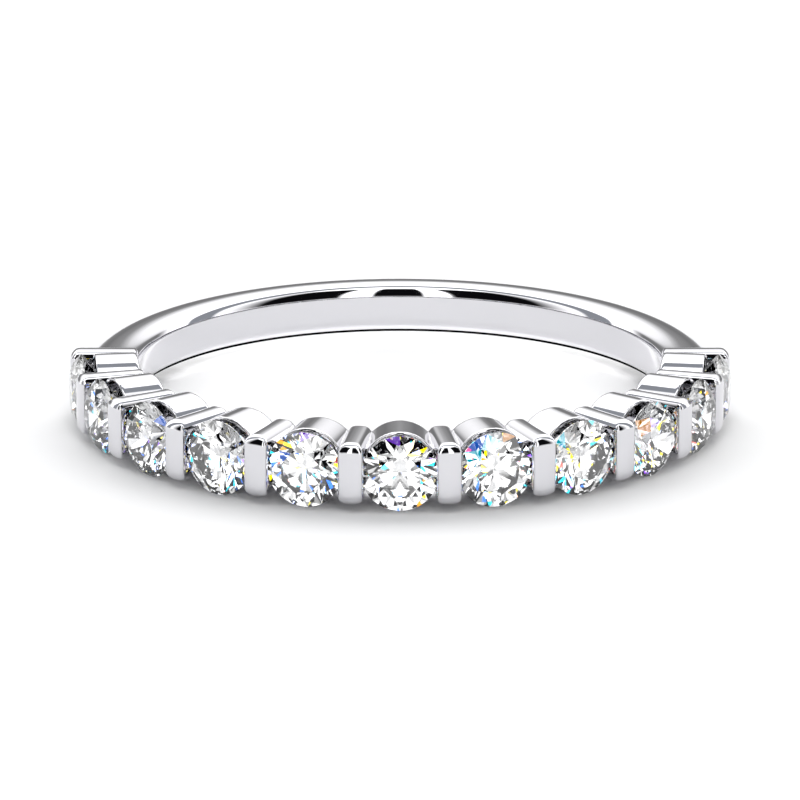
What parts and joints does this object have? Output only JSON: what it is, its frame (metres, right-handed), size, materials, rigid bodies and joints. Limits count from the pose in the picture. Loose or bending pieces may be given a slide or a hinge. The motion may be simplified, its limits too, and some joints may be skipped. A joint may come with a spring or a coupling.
{
  "type": "bar set half eternity ring",
  "caption": "Half eternity ring in polished white metal: round brilliants held side by side between upright bars, each over a round cup, on a plain half round shank.",
  "frame": {"origin": "centre of the finger hole, half way through it", "axes": "+Z along the finger hole, up as the ring lies on its side; the middle stone faces -Y; X runs from the first stone to the last"},
  "size_m": [0.0216, 0.0212, 0.0024],
  "materials": {
    "white_metal": "high polish, like rhodium plated white gold",
    "stone": "colourless, faceted and polished"
  },
  "bodies": {
    "root": {"band": "white_metal", "stone_1": "stone", "stone_2": "stone", "stone_3": "stone", "stone_4": "stone", "stone_5": "stone", "stone_6": "stone", "stone_7": "stone", "stone_8": "stone", "stone_9": "stone", "stone_10": "stone", "stone_11": "stone"}
  },
  "joints": []
}
